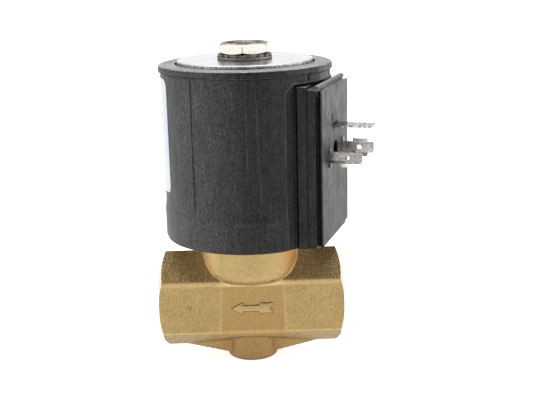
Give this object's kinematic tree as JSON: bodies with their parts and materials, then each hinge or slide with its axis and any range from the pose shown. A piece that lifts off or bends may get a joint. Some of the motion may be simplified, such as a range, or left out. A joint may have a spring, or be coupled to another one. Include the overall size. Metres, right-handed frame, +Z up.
{
  "type": "solenoid valve",
  "caption": "Solenoid valve: forged brass body with threaded ports in line, round encapsulated coil on a guide tube, spring-closed plunger and plug contacts.",
  "frame": {"origin": "centre of the flat underside of the body's foot, on the coil's axis", "axes": "+Z up the coil's axis, +X out of the inlet port, -Y the side with the flow arrow"},
  "size_m": [0.0732, 0.057, 0.1084],
  "materials": {
    "forged_brass": "sand-blasted hot forging, satin",
    "turned_brass": "machined, fine tool marks",
    "seal_rubber": "matt",
    "stainless_steel": "drawn tube, satin",
    "core_steel": "ferritic stainless, turned",
    "copper": "copper, satin",
    "zinc_plate": "bright zinc plate",
    "dark_zinc": "hardened steel, zinc plated, dull",
    "spring_steel": "stainless spring wire",
    "coil_plastic": "glass-filled black moulding, fine grain",
    "yoke_plate": "zinc-plated steel, satin",
    "bobbin_plastic": "moulded",
    "tinned_contact": "tinned brass strip",
    "label_film": "satin printed film"
  },
  "bodies": {
    "valve": {"valve_body": "forged_brass", "bonnet": "turned_brass", "bonnet_seal": "seal_rubber", "guide_tube": "stainless_steel", "fixed_core": "core_steel", "shading_ring": "copper", "coil_nut": "zinc_plate", "lock_washer": "dark_zinc", "plain_washer": "dark_zinc", "return_spring": "spring_steel"},
    "plunger": {"plunger": "core_steel", "valve_seal": "seal_rubber"},
    "coil": {"coil_shell": "coil_plastic", "upper_yoke_plate": "yoke_plate", "lower_yoke_plate": "yoke_plate", "yoke_sleeve": "yoke_plate", "bobbin": "bobbin_plastic", "winding": "copper", "power_terminal_front": "tinned_contact", "power_terminal_rear": "tinned_contact", "earth_terminal": "tinned_contact", "screw_insert": "turned_brass", "coil_label": "label_film"}
  },
  "joints": [
    {"name": "plunger_lift", "type": "slide", "parent": "valve", "child": "plunger", "axis": [0, 0, 1], "range_m": [0, 0.0026], "stiffness_N_per_m": 400, "springref_m": -0.007, "deforming": ["return_spring"]},
    {"name": "coil_turn", "type": "hinge", "parent": "valve", "child": "coil", "pos_m": [0, 0, 0.0441], "axis": [0, 0, 1], "continuous": true}
  ]
}
